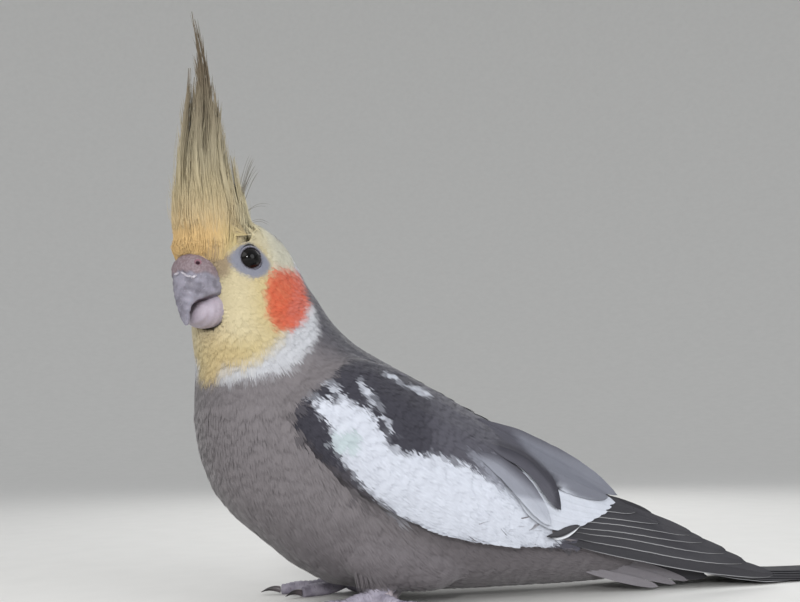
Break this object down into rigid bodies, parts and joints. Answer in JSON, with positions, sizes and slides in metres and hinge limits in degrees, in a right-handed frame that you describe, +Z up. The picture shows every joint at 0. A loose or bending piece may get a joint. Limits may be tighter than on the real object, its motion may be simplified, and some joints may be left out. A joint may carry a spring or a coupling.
{
  "type": "cockatiel",
  "caption": "Life-size still model of a crouching cockatiel with a raised crest, head turned to its left and tail laid on the floor.",
  "frame": {"origin": "on the floor, at the bottom centre of the whole bird's box", "axes": "+Z up, +Y from the breast towards the tip of the tail, +X towards the bird's left side"},
  "size_m": [0.064, 0.2766, 0.1771],
  "materials": {
    "grey_plumage": "soft matt grey-brown contour feathers",
    "yellow_plumage": "soft matt pale yellow face feathers with an orange cheek patch",
    "dark_plumage": "slate flight feathers with pale edges and a white wing patch",
    "bill": "satin lilac-grey horn, flaking a little at the cere",
    "eye": "wet near-black dome",
    "foot_skin": "grey scaly skin",
    "claw": "satin dark horn"
  },
  "bodies": {
    "root": {"trunk": "grey_plumage", "neck": "grey_plumage", "head": "yellow_plumage", "crest": "yellow_plumage", "bill_upper": "bill", "bill_lower": "bill", "eye_left": "eye", "eye_right": "eye", "wing_left": "dark_plumage", "wing_right": "dark_plumage", "tail": "dark_plumage", "thigh_left": "grey_plumage", "thigh_right": "grey_plumage", "foot_left": "foot_skin", "foot_right": "foot_skin", "claw_front_inner_left": "claw", "claw_front_outer_left": "claw", "claw_back_outer_left": "claw", "claw_back_inner_left": "claw", "claw_front_inner_right": "claw", "claw_front_outer_right": "claw", "claw_back_outer_right": "claw", "claw_back_inner_right": "claw"}
  },
  "joints": []
}
